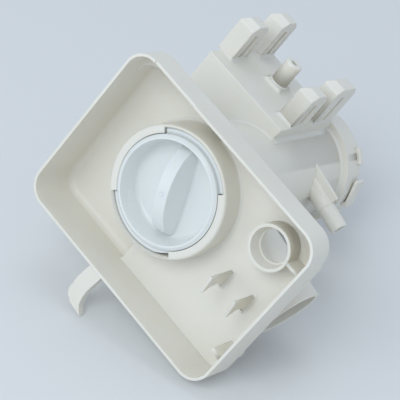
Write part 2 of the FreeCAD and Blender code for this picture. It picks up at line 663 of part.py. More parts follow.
def nipple():
    """The pressure hose's nipple on its raised pad."""
    base = piece("nipple_pad")
    square = sketch_on(base, "XY_Plane", "chamber_top")
    rectangle(square, "0 - nipple_left - pad_side / 2", "0 - nipple_left + pad_side / 2",
              "0 - nipple_forward - pad_side / 2", "0 - nipple_forward + pad_side / 2")
    pad(base, square, "pad_height")
    drill = sketch_on(base, "XY_Plane", "chamber_top + pad_height")
    pocket(base, circle(drill, "0 - nipple_left", "0 - nipple_forward", "nipple_bore"), "pad_height")

    body = piece("hose_nipple")
    foot = sketch_on(body, "XY_Plane", "chamber_top + pad_height")
    pad(body, circle(foot, "0 - nipple_left", "0 - nipple_forward", "nipple_radius"), "nipple_height")
    dress(body, "Chamfer", lies_along(2, "chamber_top + pad_height + nipple_height"), "nipple_chamfer")
    tip = sketch_on(body, "XY_Plane", "chamber_top + pad_height + nipple_height")
    pocket(body, circle(tip, "0 - nipple_left", "0 - nipple_forward", "nipple_bore"), "nipple_height")


def drain_sleeve():
    """The flared sleeve on the basin floor, with a neck, and the rib that ties it to the wall."""
    body = piece("drain_sleeve")
    sketch = sketch_on(body, "XY_Plane", "sleeve_up", across=SLEEVE_RIGHT)
    front = f"({FLOOR} + sleeve_rise)"
    neck = f"({front} - funnel_depth - neck_length)"
    polygon(sketch, [
        ("sleeve_radius - wall", f"wall - {FLOOR}"),
        ("sleeve_radius", f"wall - {FLOOR}"),
        ("sleeve_radius", f"0 - {front}"),
        ("sleeve_radius - funnel_lip", f"0 - {front}"),
        ("funnel_foot", f"0 - {front} + funnel_depth"),
        ("sleeve_bore", f"0 - {front} + funnel_depth"),
        ("sleeve_bore", f"0 - {neck}"),
        ("sleeve_radius - wall", f"0 - {neck}"),
    ])
    revolve(body, sketch)

    rib = piece("sleeve_rib")
    plate = sketch_on(rib, "XY_Plane", "sleeve_up + rib_above - rib_thick")
    rectangle(plate, SLEEVE_RIGHT, SKIRT_RIGHT, f"0 - {front}", f"0 - {FLOOR}")
    pad(rib, plate, "rib_thick")
    around = circle(sketch_on(rib, "XZ_Plane"), SLEEVE_RIGHT, "sleeve_up", "sleeve_radius")
    pocket(rib, around, "housing_length", onward=True)


def hose_fingers():
    """Two flat fingers and a corner rib on the basin floor, which grip the drain hose."""
    for place in ("inner", "outer"):
        body = piece(f"{place}_hose_finger")
        tip = f"0 - {FLOOR} - {place}_finger_rise"
        side = sketch_on(body, "YZ_Plane", f"{TRAY_RIGHT} - {place}_finger_in")
        low_tip = f"({tip} + {place}_finger_slant)"
        arch = [(f"0 - {FLOOR} - {share} * ({place}_finger_rise - {place}_finger_slant)",
                 f"0 - finger_down + {rise} * finger_arch - {share} * finger_lean")
                for share, rise in ((0.84, 0.62), (0.68, 0.94), (0.5, 1), (0.32, 0.8), (0.16, 0.4))]
        polygon(side, [
            (f"0 - {FLOOR}", "0 - finger_down"),
            (f"0 - {FLOOR}", "finger_foot - finger_down"),
            (tip, "finger_foot - finger_down"),
            (low_tip, "0 - finger_down - finger_lean"),
            *arch,
        ])
        pad(body, side, "finger_thick")
    rib = piece("corner_rib")
    foot = sketch_on(rib, "XZ_Plane", FLOOR)
    rectangle(foot, f"{TRAY_RIGHT} - corner_rib_in", SKIRT_RIGHT,
              "0 - corner_rib_down", "corner_rib_thick - corner_rib_down")
    pad(rib, foot, "corner_rib_rise")


def hose_hook():
    """The claw under the tray: shares of its sideways reach and its drop, outside then inside."""
    outside = [(0, 0), (-0.05, 0.26), (-0.09, 0.48), (-0.09, 0.6), (-0.05, 0.615), (-0.08, 0.73),
               (-0.03, 0.82), (0.09, 0.9), (0.26, 0.925), (0.28, 0.955), (0.56, 0.98), (1, 1)]
    inside = [(0.84, 0.93), (0.69, 0.84), (0.61, 0.69), (0.59, 0.54), (0.62, 0.36)]
    body = piece("hose_hook")
    sketch = sketch_on(body, "XZ_Plane", "housing_length - hook_back - hook_width")
    corners = [(f"{across} * hook_tip - hook_left", f"{TRAY_BOTTOM} - {down} * hook_drop")
               for across, down in outside + inside]
    polygon(sketch, corners + [("hook_root - hook_left", TRAY_BOTTOM)])
    pad(body, sketch, "hook_width")


def inlet_pipe():
    """The pipe from the tub, which slopes down to the right from the barrel's side."""
    body = piece("inlet_pipe")
    outside = sketch_on(body, "YZ_Plane", axis=(1, 0, 0), turn="inlet_droop")
    pad(body, circle(outside, f"0 - {INLET_FORWARD}", "0", "inlet_radius"), "inlet_reach")
    root = sketch_on(body, "YZ_Plane", axis=(1, 0, 0), turn="inlet_droop")
    pad(body, circle(root, f"0 - {INLET_FORWARD}", "0", INLET_ROOT), "inlet_root_reach")
    inside = sketch_on(body, "YZ_Plane", axis=(1, 0, 0), turn="inlet_droop")
    circle(inside, f"0 - {INLET_FORWARD}", "0", "inlet_radius - inlet_wall")
    pocket(body, inside, "inlet_reach", onward=True)
    trim_by_barrel(body)


def side_spigot():
    """The small hose spigot beside the pump flange, and the web along its top."""
    body = piece("side_spigot")
    outside = sketch_on(body, "YZ_Plane", axis=(1, 0, 0), turn="spigot_droop")
    pad(body, circle(outside, "0 - spigot_forward", "spigot_offset", "spigot_radius"), "spigot_reach")
    root = sketch_on(body, "YZ_Plane", axis=(1, 0, 0), turn="spigot_droop")
    pad(body, circle(root, "0 - spigot_forward", "spigot_offset", SPIGOT_ROOT), "web_reach")
    inside = sketch_on(body, "YZ_Plane", axis=(1, 0, 0), turn="spigot_droop")
    circle(inside, "0 - spigot_forward", "spigot_offset", "spigot_bore")
    pocket(body, inside, "spigot_reach", onward=True)
    trim_by_barrel(body)

    web = piece("spigot_web")
    plate = sketch_on(web, "XZ_Plane", "spigot_forward - web_thick / 2",
                      axis=(0, 0, 1), turn="0 - spigot_droop")
    rectangle(plate, "0", "web_reach", "spigot_offset", "spigot_offset + spigot_radius + web_above")
    pad(web, plate, "web_thick")
    along = sketch_on(web, "YZ_Plane", axis=(1, 0, 0), turn="spigot_droop")
    circle(along, "0 - spigot_forward", "spigot_offset", SPIGOT_ROOT)
    pocket(web, along, "spigot_reach", onward=True)
    trim_by_barrel(web)


def filter_cap():
    """The bowl-shaped cap with its plug, grip, bayonet lugs, seal ring and spindle."""
    seal_bottom = f"{SEAL_RADIUS} - cap_seal_section"
    half_groove = "(cap_seal_section + fit_gap / 2)"
    turned("filter_cap", [
        ("0", BOWL_FLOOR),
        (BOWL_FOOT, BOWL_FLOOR),
        (BOWL_RADIUS, CREST),
        (f"{BOWL_RADIUS} + crest_width", CREST),
        (CAP_RADIUS, f"{COLLAR_FRONT} + ring_reach"),
        (CAP_RADIUS, CAP_BACK),
        (PLUG_RADIUS, CAP_BACK),
        (PLUG_RADIUS, f"{SEAL_FORWARD} + {half_groove}"),
        (seal_bottom, f"{SEAL_FORWARD} + {half_groove}"),
        (seal_bottom, f"{SEAL_FORWARD} - {half_groove}"),
        (PLUG_RADIUS, f"{SEAL_FORWARD} - {half_groove}"),
        (PLUG_RADIUS, PLUG_BACK),
        (f"{PLUG_RADIUS} - plug_wall", PLUG_BACK),
        (f"{PLUG_RADIUS} - plug_wall", f"{BOWL_FLOOR} - wall"),
        ("0", f"{BOWL_FLOOR} - wall"),
    ])
    for side, angle in (("upper", "0"), ("lower", "180")):
        arc_block(f"{side}_cap_lug", CAP_RADIUS, f"{COLLAR_BORE} - fit_gap", LUG_BACK, LUG_FRONT,
                  f"{angle} + 90", "lug_sweep")
        arc_block(f"{side}_stop_rib", CAP_RADIUS, f"{COLLAR_BORE} - fit_gap", CAP_BACK, LUG_BACK,
                  f"{angle} + lip_sweep / 2 + stop_rib_sweep / 2", "stop_rib_sweep")

    seal = piece("cap_seal")
    section = sketch_on(seal, "XY_Plane")
    revolve(seal, circle(section, SEAL_RADIUS, f"0 - {SEAL_FORWARD}", "cap_seal_section"))

    grip = piece("grip_bar")
    arch = sketch_on(grip, "XY_Plane", axis=(0, 1, 0), turn="0 - grip_angle")
    height = f"({CREST} + grip_proud - {BOWL_FLOOR})"
    radius = f"(({GRIP_SPAN} ^ 2 / 4 + {height} ^ 2) / (2 * {height}))"
    centre = FreeCAD.Vector(0, -number(f"{CREST} + grip_proud - {radius}"), 0)
    half = number(f"{GRIP_SPAN} / 2")
    foot = -number(BOWL_FLOOR)
    line = arch.addGeometry(Part.LineSegment(FreeCAD.Vector(-half, foot, 0), FreeCAD.Vector(half, foot, 0)))
    reach = math.atan2(foot - centre.y, half)
    whole = Part.Circle(centre, FreeCAD.Vector(0, 0, 1), number(radius))
    bow = arch.addGeometry(Part.ArcOfCircle(whole, math.pi - reach, 2 * math.pi + reach))
    fix(arch, line, 1, (f"0 - {GRIP_SPAN} / 2", f"0 - {BOWL_FLOOR}"))
    fix(arch, line, 2, (f"{GRIP_SPAN} / 2", f"0 - {BOWL_FLOOR}"))
    arch.addConstraint(Sketcher.Constraint("Coincident", bow, 1, line, 1))
    arch.addConstraint(Sketcher.Constraint("Coincident", bow, 2, line, 2))
    held = arch.addConstraint(Sketcher.Constraint("Radius", bow, number(radius)))
    arch.setExpression(f"Constraints[{held}]", tied(radius))
    pad(grip, arch, "grip_thick", middle=True)

    turned("cap_spindle", [
        ("0", f"{BOWL_FLOOR} - wall"),
        ("shoulder_radius", f"{BOWL_FLOOR} - wall"),
        ("shoulder_radius", f"{STRAINER_FRONT} + fit_gap"),
        ("spindle_radius", f"{STRAINER_FRONT} + fit_gap"),
        ("spindle_radius", f"{HEAD_BACK} - fit_gap"),
        ("snap_radius", f"{HEAD_BACK} - fit_gap"),
        ("spindle_radius", f"{HEAD_BACK} - fit_gap - snap_length"),
        ("0", f"{HEAD_BACK} - fit_gap - snap_length"),
    ])


def strainer():
    """The basket that catches fluff: open towards the inlet, slotted on the other side."""
    turned("strainer_head", [
        ("spindle_radius + running_gap", HEAD_BACK),
        (STRAINER_RADIUS, HEAD_BACK),
        (STRAINER_RADIUS, STRAINER_FRONT),
        ("spindle_radius + running_gap", STRAINER_FRONT),
    ])
    basket = turned("strainer_basket", [
        (f"{STRAINER_RADIUS} - strainer_wall", END_FRONT),
        (STRAINER_RADIUS, END_FRONT),
        (STRAINER_RADIUS, HEAD_BACK),
        (f"{STRAINER_RADIUS} - strainer_wall", HEAD_BACK),
    ])
    first = f"({END_FRONT} + mouth_margin)"
    last = f"({HEAD_BACK} - mouth_margin)"
    mouth = rectangle(sketch_on(basket, "YZ_Plane"), f"0 - {last}", f"0 - {first}", "0 - mouth_height / 2",
                      "mouth_height / 2")
    pocket(basket, mouth, "barrel_radius", onward=True)
    slots = sketch_on(basket, "YZ_Plane")
    columns = int(number(f"({last} - {first} - slot_length) / slot_pitch")) + 1
    for column in range(columns):
        start = f"(0 - {first} - slot_length - {column} * slot_pitch)"
        for row in range(-2, 3):
            rectangle(slots, start, f"{start} + slot_length", f"{row} * row_pitch - slot_height / 2",
                      f"{row} * row_pitch + slot_height / 2")
    pocket(basket, slots, "barrel_radius")

    end = piece("strainer_end")
    pad(end, circle(sketch_on(end, "XZ_Plane", STRAINER_END), "0", "0", STRAINER_RADIUS), "end_thick")
    openings = sketch_on(end, "XZ_Plane", END_FRONT)
    for row in range(-2, 3):
        edge = f"({abs(row)} * bar_pitch + bar_opening / 2)"
        half = f"sqrt(({STRAINER_RADIUS} - end_rim) ^ 2 - {edge} ^ 2)"
        rectangle(openings, f"0 - {half}", half, f"{row} * bar_pitch - bar_opening / 2",
                  f"{row} * bar_pitch + bar_opening / 2")
    pocket(end, openings, "end_thick")

    aside = "(rail_sweep / 2 + ear_gap + ear_sweep / 2)"
    for side, angle in (("left", f"270 - {aside}"), ("right", f"270 + {aside}")):
        arc_block(f"{side}_guide_ear", STRAINER_RADIUS, PLUG_RADIUS, STRAINER_END, STRAINER_FRONT,
                  angle, "ear_sweep")


front_tray()
collar()
sump_barrel()
pump_connection()
air_chamber()
prongs()
nipple()
drain_sleeve()
hose_fingers()
hose_hook()
inlet_pipe()
side_spigot()
filter_cap()
strainer()

doc.recompute()
failed = [item.Name for item in doc.Objects if {"Invalid", "Error"} & set(item.State)]
failed += [item.Label for item in pieces if item.Shape.isNull() or not item.Shape.isValid()]
if failed:
    raise RuntimeError(f"not built: {failed}")
os.makedirs("parts", exist_ok=True)
for item in pieces:
    item.Shape.exportStep(f"parts/{item.Label}.step")
    print(item.Label, "solids", len(item.Shape.Solids), "volume", round(item.Shape.Volume))
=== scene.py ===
"""Dresses the pump filter housing: rounded mouldings, the cap's bowl and grip, finishes and stage."""

import json
import math

import bmesh
import bpy
import numpy as np
from mathutils import Matrix, Vector
from mathutils.bvhtree import BVHTree


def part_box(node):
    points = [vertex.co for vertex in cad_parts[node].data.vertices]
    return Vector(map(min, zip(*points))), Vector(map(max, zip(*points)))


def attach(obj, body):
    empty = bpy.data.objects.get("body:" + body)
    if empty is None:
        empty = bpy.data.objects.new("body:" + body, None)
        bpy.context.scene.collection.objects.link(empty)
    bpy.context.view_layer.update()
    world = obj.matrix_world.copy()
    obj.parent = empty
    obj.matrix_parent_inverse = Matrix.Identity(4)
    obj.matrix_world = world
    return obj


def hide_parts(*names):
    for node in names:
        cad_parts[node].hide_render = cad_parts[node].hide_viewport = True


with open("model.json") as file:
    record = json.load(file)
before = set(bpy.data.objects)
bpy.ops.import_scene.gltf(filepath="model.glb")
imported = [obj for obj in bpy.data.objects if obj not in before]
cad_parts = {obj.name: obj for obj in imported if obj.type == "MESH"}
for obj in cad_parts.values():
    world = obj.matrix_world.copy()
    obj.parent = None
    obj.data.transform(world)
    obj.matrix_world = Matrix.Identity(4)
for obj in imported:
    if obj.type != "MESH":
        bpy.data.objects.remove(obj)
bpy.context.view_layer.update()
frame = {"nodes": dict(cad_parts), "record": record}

bl_info = {
    "name": "Pump filter housing",
    "version": (1, 0, 0),
    "blender": (4, 5, 0),
    "location": "3D Viewport > Sidebar > Housing",
    "description": "Rounded mouldings, cap and finishes for a washing machine's pump filter housing",
    "category": "Object",
}

MM = 0.001
RIGHT, BACK, UP = np.eye(3)
FORWARD = -BACK


class HousingSizes(bpy.types.PropertyGroup):
    """Sizes of the rounding and of the cap's inside."""

    rim_round: bpy.props.FloatProperty(
        name="Rim rounding", description="Round on the tray's thin edges", default=0.0005, unit="LENGTH")
    block_round: bpy.props.FloatProperty(
        name="Block rounding", description="Round on the chamber and the prongs", default=0.0009,
        unit="LENGTH")
    fine_round: bpy.props.FloatProperty(
        name="Fine rounding", description="Round on the strainer, the turn stops and the web",
        default=0.00035, unit="LENGTH")
    sleeve_round: bpy.props.FloatProperty(
        name="Sleeve rounding", description="Round on the lip of the drain sleeve", default=0.0007,
        unit="LENGTH")
    pad_round: bpy.props.FloatProperty(
        name="Pad rounding", description="Round on the nipple's pad", default=0.0016, unit="LENGTH")
    finger_round: bpy.props.FloatProperty(
        name="Finger rounding", description="Round on the hose fingers", default=0.0007, unit="LENGTH")
    root_round: bpy.props.FloatProperty(
        name="Root fillet", description="Hollow fillet at the foot of the prongs and of the nipple's pad",
        default=0.0018, unit="LENGTH")
    nipple_root: bpy.props.FloatProperty(
        name="Nipple fillet", description="Hollow fillet at the foot of the nipple", default=0.0009,
        unit="LENGTH")
    finger_root: bpy.props.FloatProperty(
        name="Finger fillet", description="Hollow fillet at the foot of the fingers and the corner rib",
        default=0.0013, unit="LENGTH")
    end_root: bpy.props.FloatProperty(
        name="End fillet", description="Hollow fillet between the chamber's right end and the barrel",
        default=0.0022, unit="LENGTH")
    under_root: bpy.props.FloatProperty(
        name="Under fillet", description="Hollow fillet between the chamber's underside and the barrel",
        default=0.0015, unit="LENGTH")
    collar_root: bpy.props.FloatProperty(
        name="Collar fillet", default=0.0014, unit="LENGTH",
        description="Hollow fillet at the foot of the collar, the sleeve and the flange")
    bowl_fillet: bpy.props.FloatProperty(
        name="Bowl fillet", description="Hollow fillet between the bowl's wall and its floor", default=0.003,
        unit="LENGTH")
    bowl_mouth: bpy.props.FloatProperty(
        name="Bowl mouth", description="Radius of the bowl at its crest", default=0.0273, unit="LENGTH")
    bowl_foot: bpy.props.FloatProperty(
        name="Bowl foot", description="Radius of the bowl at its floor", default=0.0251, unit="LENGTH")
    grip_span: bpy.props.FloatProperty(
        name="Grip span", description="Length of the grip along the bowl's floor", default=0.0478,
        unit="LENGTH")
    grip_direction: bpy.props.FloatProperty(
        name="Grip direction", description="Angle of the grip from the right, seen from the front",
        default=math.radians(113.7), unit="ROTATION")
    gate_place: bpy.props.FloatProperty(
        name="Gate place", description="Place of the gate's ring along the grip", default=0.0, unit="LENGTH")
    grip_width: bpy.props.FloatProperty(
        name="Grip width", description="Width of the grip's flat top", default=0.0062, unit="LENGTH")
    grip_draft: bpy.props.FloatProperty(
        name="Grip draft", description="How far each flank leans out at its foot", default=0.0028,
        unit="LENGTH")
    grip_fillet: bpy.props.FloatProperty(
        name="Grip fillet", description="Hollow fillet along the grip's foot", default=0.001, unit="LENGTH")


class HousingFinish(bpy.types.PropertyGroup):
    """Colours and gloss of the mouldings."""

    housing_colour: bpy.props.FloatVectorProperty(
        name="Housing colour", description="Cream plastic of the housing", subtype="COLOR", size=4,
        default=(0.82, 0.79, 0.715, 1), min=0, max=1)
    housing_shade: bpy.props.FloatVectorProperty(
        name="Housing shade", description="Second tone of the cream plastic", subtype="COLOR", size=4,
        default=(0.79, 0.755, 0.67, 1), min=0, max=1)
    cap_colour: bpy.props.FloatVectorProperty(
        name="Cap colour", description="Cool white plastic of the filter cap", subtype="COLOR", size=4,
        default=(0.80, 0.815, 0.795, 1), min=0, max=1)
    cap_shade: bpy.props.FloatVectorProperty(
        name="Cap shade", description="Second tone of the cap's plastic", subtype="COLOR", size=4,
        default=(0.775, 0.795, 0.78, 1), min=0, max=1)
    strainer_colour: bpy.props.FloatVectorProperty(
        name="Strainer colour", description="Plastic of the strainer", subtype="COLOR", size=4,
        default=(0.72, 0.73, 0.72, 1), min=0, max=1)
    rubber_colour: bpy.props.FloatVectorProperty(
        name="Rubber colour", description="Rubber of the two seals", subtype="COLOR", size=4,
        default=(0.03, 0.03, 0.032, 1), min=0, max=1)
    housing_roughness: bpy.props.FloatProperty(
        name="Housing roughness", description="Satin of the housing", default=0.42, min=0, max=1)
    cap_roughness: bpy.props.FloatProperty(
        name="Cap roughness", description="Gloss of the cap", default=0.26, min=0, max=1)


# Meshes

def grid_piece(name, points, closed_across=False, closed_along=False, ends=False):
    """A mesh from a grid of points, rows by columns: each cell becomes one face of four corners.

    Closed ways join the last row or column to the first. With ends, the first and the last row
    are each closed by one face.
    """
    rows, columns = points.shape[:2]
    index = np.arange(rows * columns).reshape(rows, columns)
    down = np.roll(index, -1, axis=0) if closed_along else index[1:]
    here = index if closed_along else index[:-1]
    if closed_across:
        right_here, right_down = np.roll(here, -1, axis=1), np.roll(down, -1, axis=1)
    else:
        right_here, right_down = here[:, 1:], down[:, 1:]
        here, down = here[:, :-1], down[:, :-1]
    faces = np.stack([here, right_here, right_down, down], axis=-1).reshape(-1, 4).tolist()
    if ends:
        faces.append(index[0][::-1].tolist())
        faces.append(index[-1].tolist())
    mesh = bpy.data.meshes.new(name)
    mesh.from_pydata(points.reshape(-1, 3).tolist(), [], faces)
    return placed(name, mesh)


def placed(name, mesh):
    """An object at the origin for a mesh, with its faces turned outwards and shaded smooth."""
    work = bmesh.new()
    work.from_mesh(mesh)
    bmesh.ops.remove_doubles(work, verts=work.verts, dist=2e-6)
    bmesh.ops.recalc_face_normals(work, faces=work.faces)
    work.to_mesh(mesh)
    work.free()
    mesh.shade_smooth()
    piece = bpy.data.objects.new(name, mesh)
    bpy.context.scene.collection.objects.link(piece)
    return piece


def neighbours(node, near=1e-4):
    """A search tree of the faces of every other node of the same body whose box comes near this one's."""
    low, high = (np.array(corner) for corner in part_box(node))
    groups = frame["record"]["behaviour"]["bodies"]
    family = next(nodes for nodes in groups.values() if node in nodes)
    spots, faces = [], []
    for other in family:
        other_low, other_high = (np.array(corner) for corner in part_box(other))
        if other == node or (other_low > high + near).any() or (other_high < low - near).any():
            continue
        mesh = frame["nodes"][other].data
        start = len(spots)
        spots.extend(vertex.co.copy() for vertex in mesh.vertices)
        faces.extend([start + index for index in face.vertices] for face in mesh.polygons)
    return BVHTree.FromPolygons(spots, faces) if faces else None


def softened(node, name, width, segments=3, angle=32.0, flat=0.4, touching=0.00006):
    """A merged copy of a CAD node with its sharp edges rounded off.

    Faces that turn by less than the flat angle become one, and edges sharper than the other angle are
    rounded. An edge whose ends and middle touch a neighbouring node stays sharp, so no groove opens at
    the joint. Angles are in degrees.
    """
    mesh = frame["nodes"][node].data.copy()
    mesh.name = name
    around = neighbours(node)
    work = bmesh.new()
    work.from_mesh(mesh)
    bmesh.ops.remove_doubles(work, verts=work.verts, dist=1e-6)
    bmesh.ops.dissolve_limit(work, angle_limit=math.radians(flat), verts=work.verts, edges=work.edges)
    bmesh.ops.recalc_face_normals(work, faces=work.faces)
    share = work.edges.layers.float.new("bevel_weight_edge")
    for edge in work.edges:
        if len(edge.link_faces) != 2 or edge.calc_face_angle() < math.radians(angle):
            continue
        first, last = (end.co for end in edge.verts)
        joined = around is not None and all(
            around.find_nearest(spot, touching)[0] is not None for spot in (first, last, (first + last) / 2))
        edge[share] = 0.0 if joined else 1.0
    work.to_mesh(mesh)
    work.free()
    mesh.shade_smooth()
    piece = bpy.data.objects.new(name, mesh)
    bpy.context.scene.collection.objects.link(piece)
    bevel = piece.modifiers.new("rounding", "BEVEL")
    bevel.width = width
    bevel.segments = segments
    bevel.limit_method = "WEIGHT"
    bevel.use_clamp_overlap = True
    bevel.miter_outer = "MITER_ARC"
    weights = piece.modifiers.new("shading", "WEIGHTED_NORMAL")
    weights.keep_sharp = False
    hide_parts(node)
    return piece


def turned_piece(name, profile, steps=160):
    """An open profile of radius and forward distance in mm, from axis to axis, carried once round it."""
    profile = np.asarray(profile, float) * MM
    angles = np.linspace(0, 2 * math.pi, steps, endpoint=False)[:, None]
    radius, forward = profile[None, :, 0], profile[None, :, 1]
    points = np.stack([radius * np.cos(angles), np.broadcast_to(-forward, (steps, len(profile))),
                       radius * np.sin(angles)], axis=-1)
    return grid_piece(name, points, closed_along=True)


def rounded_corners(corners, radii, steps=6):
    """A closed outline with each corner replaced by an arc of its own radius.

    Each arc starts and ends at the radius's tangent length from the corner and turns about the
    point on the corner's bisector, from which both sides are one radius away.
    """
    corners = np.asarray(corners, float)
    result = []
    for index, radius in enumerate(radii):
        here = corners[index]
        if radius <= 0:
            result.append(here[None])
            continue
        back = corners[index - 1] - here
        onward = corners[(index + 1) % len(corners)] - here
        back_reach, onward_reach = np.linalg.norm(back), np.linalg.norm(onward)
        back, onward = back / back_reach, onward / onward_reach
        half = math.acos(max(-1.0, min(1.0, float(back @ onward)))) / 2
        tangent = min(radius / math.tan(half), 0.49 * back_reach, 0.49 * onward_reach)
        share = np.linspace(0, 1, steps + 1)[:, None]
        start, end = here + back * tangent, here + onward * tangent
        turn = math.pi - 2 * half
        centre = here + (back + onward) / np.linalg.norm(back + onward) * tangent / math.cos(half)
        first, last = start - centre, end - centre
        result.append(centre + (np.sin((1 - share) * turn) * first + np.sin(share * turn) * last)
                      / math.sin(turn))
    return np.concatenate(result)


def root_fillet(name, outline, outward, base, up, size, closed=True, reach=1.0, bury=0.0003):
    """A hollow fillet along the foot of an upright form.

    The path is the foot's outline. At each of its points the section is a quarter circle whose
    centre stands one fillet size out and one up, so that it meets the floor and the wall flat,
    closed by a corner a little inside both. Reach is each point's share of the size.
    """
    turn = np.linspace(0, math.pi / 2, 9)
    out = np.concatenate([size * (1 - np.sin(turn)), [-bury, -bury, size]])
    rise = np.concatenate([size * (1 - np.cos(turn)), [size, -bury, -bury]])
    share = np.broadcast_to(reach, len(outline))[:, None]
    out = np.where(out > 0, out * share, out)[..., None]
    rise = np.where(rise > 0, rise * share, rise)[..., None]
    points = outline[:, None] + base + out * outward[:, None] + rise * up
    return grid_piece(name, points, closed_along=closed, closed_across=True, ends=not closed)


def ring_outline(centre, radius, across, along, start=0.0, end=360.0, steps=96):
    """Points round a centre in the plane of two directions, and their outward directions.

    Angles are in degrees from the first direction towards the second. A whole turn leaves out its
    last point, which is its first.
    """
    whole = end - start >= 360.0
    angles = np.radians(np.linspace(start, end, steps, endpoint=not whole))[:, None]
    outward = np.cos(angles) * across + np.sin(angles) * along
    return centre + radius * outward, outward


def box_outline(low, high, corner, across, along, steps=5):
    """A rounded rectangle between two corners in a plane, and its outward directions.

    Each corner's points turn through a right angle about a centre set in by the corner's radius.
    """
    inner = [(high[0] - corner, high[1] - corner), (low[0] + corner, high[1] - corner),
             (low[0] + corner, low[1] + corner), (high[0] - corner, low[1] + corner)]
    angles = (np.arange(4)[:, None] * math.pi / 2 + np.linspace(0, math.pi / 2, steps)[None]).ravel()
    centres = np.repeat(np.asarray(inner), steps, axis=0)
    outward = np.cos(angles)[:, None] * across + np.sin(angles)[:, None] * along
    return centres[:, :1] * across + centres[:, 1:] * along + corner * outward, outward


# Finishes

def group_tree(name, inputs, outputs):
    """An empty shader node group with named sockets."""
    tree = bpy.data.node_groups.new(name, "ShaderNodeTree")
    for label, kind, value in inputs:
        socket = tree.interface.new_socket(label, in_out="INPUT", socket_type=kind)
        if value is not None:
            socket.default_value = value
    for label, kind in outputs:
        tree.interface.new_socket(label, in_out="OUTPUT", socket_type=kind)
    return tree, tree.nodes.new("NodeGroupInput"), tree.nodes.new("NodeGroupOutput")


def moulding_grain():
    """Fine matt grain of a moulded surface, from two noises of different size.

    The height is one part of the fine noise and three of the broad one. The roughness is the given
    one plus the broad noise's distance from its middle times the variation.
    """
    tree, given, result = group_tree(
        "moulding_grain",
        [("Vector", "NodeSocketVector", None), ("Grain size", "NodeSocketFloat", 2600.0),
         ("Waviness", "NodeSocketFloat", 45.0), ("Roughness", "NodeSocketFloat", 0.4),
         ("Variation", "NodeSocketFloat", 0.08)],
        [("Height", "NodeSocketFloat"), ("Roughness", "NodeSocketFloat")])
    link = tree.links.new
    fine = tree.nodes.new("ShaderNodeTexNoise")
    fine.inputs["Detail"].default_value = 2.0
    broad = tree.nodes.new("ShaderNodeTexNoise")
    broad.inputs["Detail"].default_value = 3.0
    for noise, size in ((fine, "Grain size"), (broad, "Waviness")):
        link(given.outputs["Vector"], noise.inputs["Vector"])
        link(given.outputs[size], noise.inputs["Scale"])
    height = tree.nodes.new("ShaderNodeMix")
    height.data_type = "FLOAT"
    height.inputs["Factor"].default_value = 0.75
    link(fine.outputs["Fac"], height.inputs["A"])
    link(broad.outputs["Fac"], height.inputs["B"])
    link(height.outputs["Result"], result.inputs["Height"])
    centred = tree.nodes.new("ShaderNodeMath")
    centred.operation = "SUBTRACT"
    centred.inputs[1].default_value = 0.5
    link(broad.outputs["Fac"], centred.inputs[0])
    varied = tree.nodes.new("ShaderNodeMath")
    varied.operation = "MULTIPLY_ADD"
    link(centred.outputs["Value"], varied.inputs[0])
    link(given.outputs["Variation"], varied.inputs[1])
    link(given.outputs["Roughness"], varied.inputs[2])
    link(varied.outputs["Value"], result.inputs["Roughness"])
    return tree


def flow_tones():
    """Two tones of one plastic, mixed by slow flow bands, with fine darker specks.

    The bands are a noise whose middle values are spread from nothing to one. A speck is a place nearer
    than the speck's radius to a cell's point, in shares of a cell.
    """
    tree, given, result = group_tree(
        "flow_tones",
        [("Vector", "NodeSocketVector", None), ("Main", "NodeSocketColor", None),
         ("Second", "NodeSocketColor", None), ("Band size", "NodeSocketFloat", 18.0),
         ("Speck size", "NodeSocketFloat", 900.0), ("Specks", "NodeSocketFloat", 0.04)],
        [("Color", "NodeSocketColor")])
    speck_radius = 0.12
    link = tree.links.new
    bands = tree.nodes.new("ShaderNodeTexNoise")
    bands.inputs["Detail"].default_value = 4.0
    bands.inputs["Distortion"].default_value = 0.6
    specks = tree.nodes.new("ShaderNodeTexVoronoi")
    for pattern, size in ((bands, "Band size"), (specks, "Speck size")):
        link(given.outputs["Vector"], pattern.inputs["Vector"])
        link(given.outputs[size], pattern.inputs["Scale"])
    spread = tree.nodes.new("ShaderNodeMapRange")
    spread.inputs["From Min"].default_value = 0.32
    spread.inputs["From Max"].default_value = 0.68
    link(bands.outputs["Fac"], spread.inputs["Value"])
    tones = tree.nodes.new("ShaderNodeMix")
    tones.data_type = "RGBA"
    link(spread.outputs["Result"], tones.inputs["Factor"])
    link(given.outputs["Main"], tones.inputs["A"])
    link(given.outputs["Second"], tones.inputs["B"])
    dots = tree.nodes.new("ShaderNodeMath")
    dots.operation = "LESS_THAN"
    dots.inputs[1].default_value = speck_radius
    link(specks.outputs["Distance"], dots.inputs[0])
    share = tree.nodes.new("ShaderNodeMath")
    share.operation = "MULTIPLY"
    link(dots.outputs["Value"], share.inputs[0])
    link(given.outputs["Specks"], share.inputs[1])
    dotted = tree.nodes.new("ShaderNodeMix")
    dotted.data_type = "RGBA"
    dotted.blend_type = "MULTIPLY"
    dotted.inputs["B"].default_value = (0.72, 0.68, 0.6, 1)
    link(share.outputs["Value"], dotted.inputs["Factor"])
    link(tones.outputs["Result"], dotted.inputs["A"])
    link(dotted.outputs["Result"], result.inputs["Color"])
    return tree


